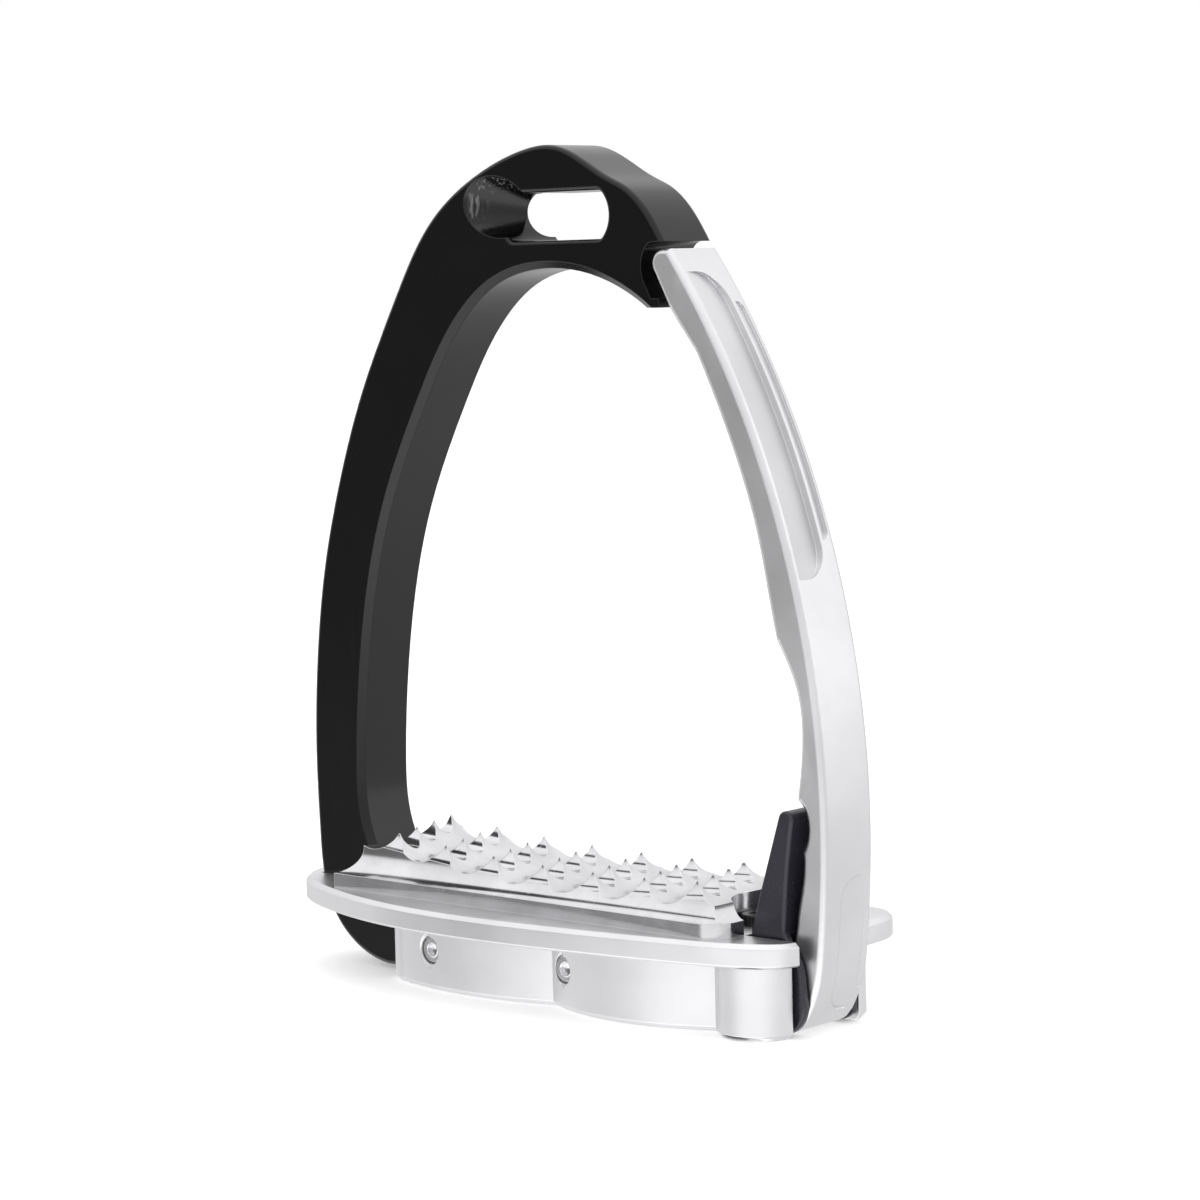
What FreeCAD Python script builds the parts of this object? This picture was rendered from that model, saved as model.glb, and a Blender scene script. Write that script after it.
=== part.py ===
"""Quick-release safety stirrup: black arch with a fixed inner branch, hinged release arm, tread and base.

Frame: X runs across the stirrup (fixed branch at -X, release arm at +X), -Y is the front, +Z is up.
The arch lies in the plane Y = 0, and the flat underside of the base lies in the plane Z = 0.
All sizes are in millimetres.
"""
import FreeCAD, Part
import math
import os

V = FreeCAD.Vector

# ---- driving dimensions -------------------------------------------------------------------------
INNER_WIDTH = 120.0          # clear width for the boot
ARCH_DEPTH = 15.0            # arch and arm, front to back
INNER_BEVEL = 1.4            # bevel along the inner edges of the arch
ARM_ROUNDING = 1.2           # all edges of the arm's front and back faces
FOOT_BEVEL = 1.0             # round the underside of the base
OUTER_ROUNDING = 0.9         # outer edges of the arch, and the rims of the leather slot
SLOT_WIDTH = 28.4            # leather slot
SLOT_HEIGHT = 9.6
SLOT_CENTRE_Z = 158.6
TREAD_TOP = 19.0             # upper face of the footbed platform
TREAD_THICKNESS = 4.7
BASE_HEIGHT = TREAD_TOP - TREAD_THICKNESS
INSERT_BAND = 3.0            # upright band round the grip insert
INSERT_TOP = 24.1            # margin level of the insert where its dish is lowest
SPIKE_TIP = 27.9             # tip level there
HINGE_X = 55.5               # common axis of the arm and the lever, along Y
HINGE_Z = 6.3
HEEL_RADIUS = 6.0
PIN_RADIUS = 2.5
PIN_FRONT = -13.4
PIN_REAR = 14.2
BUSH_RADIUS = 3.3
RUNNING_FIT = 0.04           # radial clearance of a turning fit
HEEL_HALF = 5.2              # half width of the arm's eye between the two springs
LEVER_HALF = 9.3             # half width of the lever
CHEEK_INNER = 7.9            # inner face of the lever's cheeks
CHEEK_RADIUS = 6.1
BAY_HALF = 10.3              # half width of the bay that holds the arm and the lever
BAY_START = 46.5
TENON_HALF = ARCH_DEPTH / 2
TENON_END = 12.0
TENON_BOTTOM = 3.0
TENON_TOP = 13.9
SPRING_ROOM = 4.6            # radius of the recesses in the arm's eye, round the springs
DETENT_AXIS_X0 = 22.0
SIDE_SCREW_X = (-31.0, 5.4)
SIDE_SCREW_Z = 8.2

HALF = ARCH_DEPTH / 2
BEYOND = 5.0                 # how far cutting tools reach past the shape they cut
SOCKET = 2.5                 # across flats, in every screw but the cover's
GRIP_SCREW_RADIUS = 2.0
GRIP_HEAD_RADIUS = 4.0
HOUSING_SCREW_RADIUS = 1.7
HOUSING_HEAD_RADIUS = 2.8
SCREW_PLAY = 0.05            # round the housing screws' shanks in the base
PIN_PLACE_RADIUS = 1.5       # locating pins under the insert
DETENT_RADIUS = 2.6          # bore of the plunger
DETENT_NOSE_RADIUS = 1.5


# ---- helpers ------------------------------------------------------------------------------------
def xz(point, y=0.0):
    return V(point[0], y, point[1])


def line(start, end, place=xz):
    return Part.LineSegment(place(start), place(end)).toShape()


def arc(start, middle, end, place=xz):
    return Part.Arc(place(start), place(middle), place(end)).toShape()


def curve(points, place=xz, end=None):
    """Smooth curve through the points; end is the direction in which it arrives."""
    spline = Part.BSplineCurve()
    places = [place(p) for p in points]
    if end is None:
        spline.interpolate(places)
    else:
        spline.interpolate(Points=places, InitialTangent=places[1] - places[0], FinalTangent=place(end))
    return spline.toShape()


def polyline(points, place=xz):
    return [line(a, b, place) for a, b in zip(points[:-1], points[1:])]


def face_of(edges):
    return Part.Face(Part.Wire(Part.__sortEdges__(edges)))


def slab(edges, y0, y1):
    """Outline in the XZ plane, extruded along Y."""
    face = face_of(edges)
    face.translate(V(0, y0, 0))
    return face.extrude(V(0, y1 - y0, 0))


def flat(point, z=0.0):
    return V(point[0], point[1], z)


def plate(edges, z0, z1):
    """Outline in the XY plane, extruded along Z."""
    face = face_of(edges)
    face.translate(V(0, 0, z0))
    return face.extrude(V(0, 0, z1 - z0))


def block(x0, x1, y0, y1, z0, z1):
    return Part.makeBox(x1 - x0, y1 - y0, z1 - z0, V(x0, y0, z0))


def rod(radius, start, end):
    start = V(*start)
    axis = V(*end) - start
    return Part.makeCylinder(radius, axis.Length, start, axis)


def cone(r0, r1, start, end):
    start = V(*start)
    axis = V(*end) - start
    return Part.makeCone(r0, r1, axis.Length, start, axis)


def ring(outer, inner, start, end):
    return rod(outer, start, end).cut(rod(inner, start, end))


def hex_socket(centre, axis, across, depth):
    centre = V(*centre)
    axis = V(*axis)
    side = V(0, 0, 1) if abs(axis.z) < 0.9 else V(1, 0, 0)
    other = axis.cross(side)
    radius = across / math.sqrt(3)
    corners = []
    for k in range(7):
        angle = k * math.pi / 3
        corners.append(centre + side * (radius * math.cos(angle)) + other * (radius * math.sin(angle)))
    return Part.Face(Part.makePolygon(corners)).extrude(axis * depth)


def screw(head_centre, axis, shank, length, head, head_height, socket, countersunk=False):
    """Socket screw: head_centre lies on the head's outer face, axis points from it into the shank."""
    start = V(*head_centre)
    axis = V(*axis)
    seat = start + axis * head_height
    if countersunk:
        top = Part.makeCone(head, shank, head_height, start, axis)
    else:
        top = Part.makeCylinder(head, head_height, start, axis)
    body = top.fuse(Part.makeCylinder(shank, length - head_height, seat, axis))
    return body.cut(hex_socket(start, axis, socket, head_height * 0.75)).removeSplitter()


def coil(mean_radius, wire, start, axis, length, turns):
    """Round-wire coil spring, as one solid."""
    pitch = length / turns
    helix = Part.makeHelix(pitch, length, mean_radius)
    spine = Part.Wire(helix.Edges)
    first = spine.Edges[0]
    tangent = first.tangentAt(first.FirstParameter)
    section = Part.Wire(Part.makeCircle(wire / 2, first.valueAt(first.FirstParameter), tangent))
    spring = spine.makePipeShell([section], True, True)
    spring.Placement = FreeCAD.Placement(V(*start), FreeCAD.Rotation(V(0, 0, 1), V(*axis)))
    return spring


def bevel_where(shape, size, test):
    """Chamfer every edge that passes the test."""
    edges = [edge for edge in shape.Edges if test(edge)]
    return shape.makeChamfer(size, edges) if edges else shape


def round_where(shape, radius, test):
    edges = [edge for edge in shape.Edges if test(edge)]
    return shape.makeFillet(radius, edges) if edges else shape


def lies_in_y(edge, y):
    box = edge.BoundBox
    return abs(box.YMin - y) < 1e-4 and abs(box.YMax - y) < 1e-4


def lies_in_z(edge, z):
    box = edge.BoundBox
    return abs(box.ZMin - z) < 1e-4 and abs(box.ZMax - z) < 1e-4


# ---- arch ---------------------------------------------------------------------------------------
INNER_X = -INNER_WIDTH / 2
HOUSING_LEFT = -46.5
FOOT_INNER = -55.0           # inner side of the fixed branch where it enters the base
ARCH_OUTER = [(28.4, 152.9), (25.8, 157.0), (22.5, 161.0), (18.6, 164.0), (14.2, 166.0), (7.6, 169.6),
              (0.0, 172.6), (-9.5, 171.9), (-21.9, 167.4), (-34.4, 159.0), (-46.2, 142.5), (-56.6, 123.7),
              (-64.4, 104.4), (-70.0, 84.9), (-73.1, 65.2), (-74.3, 45.5), (-73.9, 28.0), (-72.4, 16.0),
              (-69.0, 9.2), (-64.0, 4.6), (-54.0, 1.0)]
ARCH_INNER = [(FOOT_INNER, 23.0), (-57.4, 27.0), (-59.6, 34.0), (INNER_X, 43.0), (-59.0, 58.0), (-56.2, 77.0),
              (-50.4, 97.6), (-38.9, 120.7), (-28.6, 136.2), (-17.5, 145.2), (-3.6, 148.3), (9.8, 146.5),
              (23.0, 140.1)]
JAW = [(23.0, 140.1), (27.3, 140.1), (27.0, 141.9), (25.0, 141.9), (24.2, 143.8)]
TENON_LEFT = HOUSING_LEFT + 0.6
SCREW_HOLE = 1.7


def on_a_face(edge):
    """True for an edge that lies in the front or the back face of the arch or the arm."""
    return lies_in_y(edge, -HALF) or lies_in_y(edge, HALF)


def frame_arch():
    outline = [curve(ARCH_OUTER)]
    outline += polyline([ARCH_OUTER[-1], (TENON_LEFT, 1.0), (TENON_LEFT, TENON_BOTTOM),
                         (TENON_END, TENON_BOTTOM), (TENON_END, TENON_TOP), (FOOT_INNER, TENON_TOP),
                         ARCH_INNER[0]])
    outline.append(curve(ARCH_INNER))
    # jaw: lower lip, pocket for the arm's nose, and the step above it
    outline += polyline(JAW)
    outline += [
        arc(JAW[-1], (22.7, 147.6), (23.4, 151.1)),
        arc((23.4, 151.1), (24.6, 152.5), (26.6, 152.9)),
        line((26.6, 152.9), ARCH_OUTER[0]),
    ]
    body = slab(outline, -HALF, HALF)

    def on_inner_edge(edge):
        box = edge.BoundBox
        return on_a_face(edge) and box.XMax < 23.2 and 22.0 < box.ZMin and box.ZMax < 149.0

    body = bevel_where(body, INNER_BEVEL, on_inner_edge)
    body = round_where(body, OUTER_ROUNDING, lambda e: on_a_face(e) and e.BoundBox.ZMax > 160.0)
    body = body.cut(leather_slot())
    body = round_where(body, OUTER_ROUNDING, on_slot_rim)
    body = body.cut(slot_scoop(-1)).cut(slot_scoop(1))
    for x in SIDE_SCREW_X:
        body = body.cut(rod(SCREW_HOLE, (x, -HALF - 1, SIDE_SCREW_Z), (x, 1.0, SIDE_SCREW_Z)))
    return body.removeSplitter()


def leather_slot():
    """Opening for the stirrup leather, with barrel-shaped ends."""
    half = SLOT_WIDTH / 2
    top = SLOT_CENTRE_Z + SLOT_HEIGHT / 2
    bottom = SLOT_CENTRE_Z - SLOT_HEIGHT / 2
    straight = half - 2.2
    edges = [
        line((-straight, top), (straight, top)),
        arc((straight, top), (half, SLOT_CENTRE_Z), (straight, bottom)),
        line((straight, bottom), (-straight, bottom)),
        arc((-straight, bottom), (-half, SLOT_CENTRE_Z), (-straight, top)),
    ]
    corners = slab(edges, -HALF - 1, HALF + 1)
    return round_where(corners, 1.5, lambda e: abs(e.BoundBox.YLength - 2 * (HALF + 1)) < 1e-4)


def on_slot_rim(edge):
    box = edge.BoundBox
    inside = abs(box.Center.x) < SLOT_WIDTH / 2 and abs(box.Center.z - SLOT_CENTRE_Z) < SLOT_HEIGHT / 2 + 0.1
    return on_a_face(edge) and inside and box.XLength < SLOT_WIDTH


def slot_scoop(side):
    """Slanted hollow that leads the leather into the slot from the branch side; side is -1 at the front."""
    reach = HALF + 6.0
    mouth = (-20.5, side * reach, SLOT_CENTRE_Z + 3.2)
    throat = (-4.8, -side * 2.0, SLOT_CENTRE_Z)
    return cone(7.6, 3.6, mouth, throat)


# ---- release arm --------------------------------------------------------------------------------
ARM_OUTER = [(29.8, 151.5), (36.6, 141.6), (43.8, 129.2), (51.8, 112.0), (57.8, 94.7), (62.1, 77.4),
             (64.8, 60.1), (65.9, 43.0), (65.7, 30.0), (64.8, 17.5), (63.7, 10.5), (61.9, 5.6), (60.6, 3.2)]
ARM_UPPER_INNER = [(35.9, 131.4), (44.4, 113.2), (49.9, 97.5), (53.4, 81.3), (54.5, 76.4)]
ARM_LOWER_INNER = [(54.5, 76.4), (57.0, 71.9), (59.4, 66.0), (60.2, 60.0), (60.0, 54.0), (58.9, 46.0)]
SCOOP_SKIN = 3.0             # how far the scoops' tools stand out of the arm
SCOOPS = [                   # y_edge, y_wall, depth, z0, z1, corner
    (-5.9, 3.1, 1.6, 88.0, 147.0, 6.0),      # broad scoop
    (3.9, 6.0, 0.7, 95.0, 141.0, 1.6),       # narrow groove behind it
    (4.4, -2.4, 1.5, 4.0, 30.5, 5.0),        # two short flutes over the foot
    (7.4, 4.7, 1.0, 8.0, 24.0, 1.8),
]
NOTCH_RADIUS = 1.6           # notch in the heel, for the plunger's nose
NOTCH_OUT = 1.1              # how far the notch's centre lies outside the heel


def heel_point(degrees, radius=HEEL_RADIUS):
    angle = math.radians(degrees)
    return (HINGE_X + radius * math.cos(angle), HINGE_Z + radius * math.sin(angle))


def arm_outline():
    edges = [
        arc((25.4, 147.6), (25.9, 150.6), (28.0, 151.5)),
        line((28.0, 151.5), ARM_OUTER[0]),
        curve(ARM_OUTER),
        line(ARM_OUTER[-1], heel_point(-50)),
        arc(heel_point(-50), heel_point(-122), heel_point(130)),
    ]
    edges += polyline([heel_point(130), (57.2, 16.4), (58.1, 21.0)])
    edges += [
        curve([(58.1, 21.0), (59.0, 26.5), (60.1, 33.0), (60.0, 36.0)]),
        arc((60.0, 36.0), (61.4, 40.0), (60.6, 44.2)),
        line((60.6, 44.2), (58.9, 46.0)),
        curve(ARM_LOWER_INNER),
        curve(ARM_UPPER_INNER),
    ]
    edges += polyline([(35.9, 131.4), (32.0, 136.5), (29.2, 140.4), (25.4, 147.6)])
    return edges


def scoop(y_edge, y_wall, depth, z0, z1, corner):
    """Hollow in the arm's outer face: nothing deep at y_edge, and depth deep at the wall at y_wall."""
    skin = [(x + SCOOP_SKIN, z + SCOOP_SKIN / 3) for x, z in ARM_OUTER]
    ends = [line(ARM_OUTER[0], skin[0]), line(ARM_OUTER[-1], skin[-1])]
    shell = face_of([curve(ARM_OUTER), curve(skin)] + ends)
    shell.translate(V(0, y_edge, 0))
    wedge = shell.extrude(V(-depth, y_wall - y_edge, 0))
    turn = math.copysign(corner, y_wall - y_edge)
    k = 1 - math.sqrt(0.5)

    def upright(point):
        return V(0, point[0], point[1])

    edges = polyline([(y_wall - turn, z0), (y_edge, z0), (y_edge, z1), (y_wall - turn, z1)], upright)
    edges += [
        arc((y_wall - turn, z1), (y_wall - k * turn, z1 - k * corner), (y_wall, z1 - corner), upright),
        line((y_wall, z1 - corner), (y_wall, z0 + corner), upright),
        arc((y_wall, z0 + corner), (y_wall - k * turn, z0 + k * corner), (y_wall - turn, z0), upright),
    ]
    return wedge.common(face_of(edges).extrude(V(100, 0, 0)))


def release_arm():
    body = slab(arm_outline(), -HALF, HALF)
    body = round_where(body, ARM_ROUNDING, on_a_face)
    for sizes in SCOOPS:
        body = body.cut(scoop(*sizes))
    # recesses round the two springs, on both sides of the eye
    for side in (-1, 1):
        start = (HINGE_X, side * HEEL_HALF, HINGE_Z)
        end = (HINGE_X, side * (HALF + 1), HINGE_Z)
        body = body.cut(rod(SPRING_ROOM, start, end))
    body = body.cut(rod(BUSH_RADIUS, (HINGE_X, -HALF, HINGE_Z), (HINGE_X, HALF, HINGE_Z)))
    notch_x = HINGE_X - HEEL_RADIUS - NOTCH_OUT
    return body.cut(rod(NOTCH_RADIUS, (notch_x, -HALF, HINGE_Z), (notch_x, HALF, HINGE_Z))).removeSplitter()


def arm_bush(y0, y1):
    return ring(BUSH_RADIUS, PIN_RADIUS + RUNNING_FIT, (HINGE_X, y0, HINGE_Z), (HINGE_X, y1, HINGE_Z))


# ---- release lever ------------------------------------------------------------------------------
LEVER_TIP = (57.5, 42.1)
LEVER_TIP_RADIUS = 1.75
LEVER_ROUNDING = 0.6
REAR_CHEEK_END = HINGE_X + 4.3


def release_lever():
    """Wedge under the boot's edge, with two cheeks that straddle the arm's heel."""
    tip = LEVER_TIP
    r = LEVER_TIP_RADIUS
    cheek = heel_point(12, CHEEK_RADIUS)
    outline = [
        arc((tip[0] - r * 0.95, tip[1] + 0.5), (tip[0] - 0.2, tip[1] + r), (tip[0] + r, tip[1] - 0.2)),
        curve([(tip[0] + r, tip[1] - 0.2), (58.6, 38.0), (57.9, 33.0), (57.2, 26.0), (56.7, 20.2)]),
        curve([(56.7, 20.2), (59.2, 16.8), (60.8, 12.8), cheek], end=(0.21, -0.98)),
        arc(cheek, heel_point(-90, CHEEK_RADIUS), heel_point(195, CHEEK_RADIUS)),
        line(heel_point(195, CHEEK_RADIUS), (48.6, 12.0)),
        line((48.6, 12.0), (48.6, 20.2)),
        line((48.6, 20.2), (tip[0] - r * 0.95, tip[1] + 0.5)),
    ]
    body = slab(outline, -LEVER_HALF, LEVER_HALF)
    body = round_where(body, LEVER_ROUNDING, lambda e: lies_in_y(e, -LEVER_HALF) or lies_in_y(e, LEVER_HALF))
    room = polyline([(52.0, 13.0), (56.4, 18.2), (57.0, 21.5), (57.0, 22.4), (70.0, 22.4), (70.0, -5.0),
                     (40.0, -5.0), (40.0, 13.0), (52.0, 13.0)])
    body = body.cut(slab(room, -CHEEK_INNER, CHEEK_INNER))
    # the rear cheek is cut back flat, behind the arm
    body = body.cut(block(REAR_CHEEK_END, 70, CHEEK_INNER - 0.5, LEVER_HALF + 1, -1, 18))
    start = (HINGE_X, -LEVER_HALF - 1, HINGE_Z)
    end = (HINGE_X, LEVER_HALF + 1, HINGE_Z)
    return body.cut(rod(PIN_RADIUS + RUNNING_FIT, start, end)).removeSplitter()


# ---- platform -----------------------------------------------------------------------------------
TREAD_EDGE = [(61.4, -10.3), (60.6, -12.6), (54.4, -17.7), (44.0, -20.9), (24.0, -24.4), (-5.0, -27.6),
              (-30.0, -27.2), (-52.0, -22.6), (-64.0, -18.0), (-72.4, -13.0), (-77.4, -6.8), (-79.0, 0.0),
              (-77.4, 6.8), (-72.4, 13.0), (-64.0, 18.0), (-52.0, 22.6), (-30.0, 27.2), (0.0, 28.3),
              (30.0, 28.5), (48.0, 28.3), (54.5, 27.2), (57.6, 24.0), (59.0, 18.0), (60.2, 10.3)]


def tread_outline():
    return [curve(TREAD_EDGE, flat), line(TREAD_EDGE[-1], TREAD_EDGE[0], flat)]


def footbed_platform():
    body = plate(tread_outline(), BASE_HEIGHT, TREAD_TOP)
    body = bevel_where(body, 0.9, lambda e: lies_in_z(e, TREAD_TOP))
    body = bevel_where(body, 0.4, lambda e: lies_in_z(e, BASE_HEIGHT))
    body = body.cut(block(BAY_START + 1.4, 80, -BAY_HALF, BAY_HALF, BASE_HEIGHT - 1, TREAD_TOP + 1))
    body = body.cut(block(-73.6, FOOT_INNER, -HALF, HALF, BASE_HEIGHT - 1, TREAD_TOP + 1))
    for x, y in GRIP_SCREWS:
        body = body.cut(rod(GRIP_SCREW_RADIUS + 0.15, (x, y, BASE_HEIGHT - 1), (x, y, TREAD_TOP + 1)))
        seat = (x, y, BASE_HEIGHT + 2.0)
        body = body.cut(cone(GRIP_HEAD_RADIUS, GRIP_SCREW_RADIUS, (x, y, BASE_HEIGHT), seat))
    for x, y in HOUSING_SCREWS:
        body = body.cut(rod(HOUSING_SCREW_RADIUS, (x, y, BASE_HEIGHT - 1), (x, y, TREAD_TOP - 1.0)))
    for x, y in PIN_PLACES:
        body = body.cut(rod(PIN_PLACE_RADIUS, (x, y, BASE_HEIGHT + 1.0), (x, y, TREAD_TOP + 1)))
    x, y = TREAD_SCREW
    return body.cut(rod(2.1, (x, y, BASE_HEIGHT - 1), (x, y, TREAD_TOP + 1))).removeSplitter()


# ---- grip insert --------------------------------------------------------------------------------
INSERT_X0 = -57.8
INSERT_X1 = 48.0
INSERT_HALF = 18.6
CORNER = 5.0
COVE = 5.6                   # radius of the cove between the band and the dished top
COVE_OUT = 1.0               # how far the cove's centre lies outside the insert
SPIKE_PITCH_X = 13.6
SPIKE_PITCH_Y = 7.7
SPIKE_SKEW = 2.45            # each row lies this much nearer the fixed branch than the row in front
FIRST_SPIKE_X = -44.5
FRONT_ROW_Y = -11.55
COLUMNS = 8
ROWS = 4
DISH_X = 8.0                 # where the dished tread is lowest
DISH_RADIUS = 500.0
TIP_FLAT = 0.3               # how far the tips are trimmed below the crossing of the ridges
SPIKE_RISE = 4.5             # depth of the grooves across the tread, from the tips' crossing
LONG_RISE = 3.7              # depth of the grooves along the tread
FIELD_HALF = 15.4            # the spiked field, within the milled margins
FIELD_X0 = -52.5
FIELD_X1 = 45.2
WAIST_CHORD = 10.6
WAIST_DEPTH = 8.6
BLANK_TOP = 36.0


def insert_outline():
    k = CORNER * (1 - math.sqrt(0.5))
    x0, x1, h = INSERT_X0, INSERT_X1, INSERT_HALF
    return [
        line((x0, -h), (x1 - CORNER, -h), flat),
        arc((x1 - CORNER, -h), (x1 - k, -h + k), (x1, -h + CORNER), flat),
        line((x1, -h + CORNER), (x1, h - CORNER), flat),
        arc((x1, h - CORNER), (x1 - k, h - k), (x1 - CORNER, h), flat),
        line((x1 - CORNER, h), (x0, h), flat),
        line((x0, h), (x0, -h), flat),
    ]


def dish_at(x):
    """How far the dished tread lies above its lowest point at this X."""
    return (x - DISH_X) ** 2 / (2 * DISH_RADIUS)


def above_dish(level, x0, x1, y0, y1):
    """Everything over the dished surface of this level, between x0 and x1."""
    middle = (x0 + x1) / 2
    low = arc((x0, level + dish_at(x0)), (middle, level + dish_at(middle)), (x1, level + dish_at(x1)))
    rest = polyline([(x1, level + dish_at(x1)), (x1, BLANK_TOP), (x0, BLANK_TOP), (x0, level + dish_at(x0))])
    return slab([low] + rest, y0, y1)


def along_grooves():
    """Grooves along the tread, one short straight length per spike, so that they follow the dish."""
    radius = ((SPIKE_PITCH_Y / 2) ** 2 + LONG_RISE ** 2) / (2 * LONG_RISE)
    floor = SPIKE_TIP + TIP_FLAT - LONG_RISE
    cuts = []
    for row in range(-1, ROWS):
        y = FRONT_ROW_Y + (row + 0.5) * SPIKE_PITCH_Y
        shift = SPIKE_SKEW * (row + 0.5)
        for column in range(-2, COLUMNS):
            x0 = FIRST_SPIKE_X + (column - 0.5) * SPIKE_PITCH_X - shift
            x1 = x0 + SPIKE_PITCH_X
            start = (x0, y, floor + dish_at(x0) + radius)
            end = (x1, y, floor + dish_at(x1) + radius)
            cuts.append(rod(radius, start, end))
    return cuts


def across_grooves():
    slant = V(-SPIKE_SKEW, SPIKE_PITCH_Y, 0)
    slant.normalize()
    half = SPIKE_PITCH_X * slant.y / 2
    radius = (half ** 2 + SPIKE_RISE ** 2) / (2 * SPIKE_RISE)
    floor = SPIKE_TIP + TIP_FLAT - SPIKE_RISE
    cuts = []
    for column in range(-2, COLUMNS):
        x = FIRST_SPIKE_X + (column + 0.5) * SPIKE_PITCH_X
        centre = V(x, FRONT_ROW_Y, floor + dish_at(x) + radius)
        cuts.append(Part.makeCylinder(radius, 90, centre - slant * 35, slant))
    return cuts


def grip_insert():
    rim = INSERT_HALF + BEYOND
    x0 = INSERT_X0 - BEYOND
    x1 = INSERT_X1 + BEYOND
    body = plate(insert_outline(), TREAD_TOP, BLANK_TOP)
    body = body.cut(above_dish(SPIKE_TIP, x0, x1, -rim, rim))
    # mill the margins down to their own level
    body = body.cut(above_dish(INSERT_TOP, x0, x1, -rim, -FIELD_HALF))
    body = body.cut(above_dish(INSERT_TOP, x0, x1, FIELD_HALF, rim))
    body = body.cut(above_dish(INSERT_TOP, x0, FIELD_X0, -rim, rim))
    body = body.cut(above_dish(INSERT_TOP, FIELD_X1, x1, -rim, rim))
    for groove in across_grooves() + along_grooves():
        body = body.cut(groove)
    for cove in coves():
        body = body.cut(cove)
    # waist in front of the lever, and the notch round the fixed branch
    radius = (WAIST_CHORD ** 2 + WAIST_DEPTH ** 2) / (2 * WAIST_DEPTH)
    centre_x = INSERT_X1 - WAIST_DEPTH + radius
    body = body.cut(rod(radius, (centre_x, 0, TREAD_TOP - 1), (centre_x, 0, BLANK_TOP)))
    body = body.cut(block(x0, FOOT_INNER, -HALF - 0.1, HALF + 0.1, TREAD_TOP - 1, BLANK_TOP))
    for x, y in GRIP_SCREWS:
        body = body.cut(rod(GRIP_SCREW_RADIUS, (x, y, TREAD_TOP - 1), (x, y, GRIP_SCREW_TIP)))
    for x, y in PIN_PLACES:
        body = body.cut(rod(PIN_PLACE_RADIUS, (x, y, TREAD_TOP - 1), (x, y, TREAD_TOP + 3.0)))
    return body.removeSplitter()


def coves():
    """Straight hollow mouldings that run round the insert, above its band."""
    z = TREAD_TOP + INSERT_BAND + math.sqrt(COVE ** 2 - COVE_OUT ** 2)
    x0 = INSERT_X0 - COVE_OUT
    x1 = INSERT_X1 + COVE_OUT
    y = INSERT_HALF + COVE_OUT
    ends = [((x, -y - BEYOND, z), (x, y + BEYOND, z)) for x in (x0, x1)]
    sides = [((x0 - BEYOND, side, z), (x1 + BEYOND, side, z)) for side in (-y, y)]
    return [rod(COVE, start, end) for start, end in ends + sides]


# ---- base housing -------------------------------------------------------------------------------
GRIP_SCREWS = [(-40.0, 0.0), (-8.0, 0.0), (24.0, 0.0)]
GRIP_SCREW_TIP = TREAD_TOP + 4.0
HOUSING_SCREWS = [(-38.0, -12.4), (-38.0, 12.4), (34.0, -12.4), (34.0, 12.4)]
PIN_PLACES = [(-50.0, -13.0), (-50.0, 13.0)]
TREAD_SCREW = (42.6, 0.0)
LEFT_CORNER = 5.5
LOBE_X = 51.6
LOBE_Y = 10.4
LOBE_RADIUS = 7.9
LOBES = [((-41.0, 15.4), (-20.5, 18.3), (1.0, 14.6)), ((1.0, 14.6), (22.0, 19.3), (43.2, 13.6))]
SIDE_SHANK_ROOM = 2.15       # round the side screws' shanks
SIDE_HEAD_ROOM = 3.0         # and round their heads
COUNTERBORE = 3.4            # depth, for the housing screws' heads


def round_corner(side):
    """The housing's corner beside the fixed branch."""
    centre = (LOBES[0][0][0], LOBES[0][0][1] - LEFT_CORNER)
    points = []
    for degrees in (180, 135, 90):
        angle = math.radians(degrees)
        x = centre[0] + LEFT_CORNER * math.cos(angle)
        y = centre[1] + LEFT_CORNER * math.sin(angle)
        points.append((x, side * y))
    return arc(*points, flat)


def housing_outline():
    edges = [round_corner(-1)]
    edges += [arc(*[(x, -y) for x, y in lobe], flat) for lobe in LOBES]
    last_x, last_y = LOBES[-1][-1]
    end_x = LOBE_X + LOBE_RADIUS
    edges.append(arc((last_x, -last_y), (LOBE_X, -LOBE_Y - LOBE_RADIUS), (end_x, -LOBE_Y), flat))
    edges.append(line((end_x, -LOBE_Y), (end_x, LOBE_Y), flat))
    edges.append(arc((end_x, LOBE_Y), (LOBE_X, LOBE_Y + LOBE_RADIUS), (last_x, last_y), flat))
    edges += [arc(*lobe, flat) for lobe in LOBES]
    edges.append(round_corner(1))
    left_y = LOBES[0][0][1] - LEFT_CORNER
    edges.append(line((HOUSING_LEFT, left_y), (HOUSING_LEFT, -left_y), flat))
    return edges


def front_wall(x):
    """Distance of the housing's front face from the arch's plane at this X."""
    first, middle, last = next(lobe for lobe in LOBES if lobe[0][0] <= x <= lobe[2][0])
    circle = arc(first, middle, last, flat).Curve
    return circle.Center.y + math.sqrt(circle.Radius ** 2 - (x - circle.Center.x) ** 2)


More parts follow.
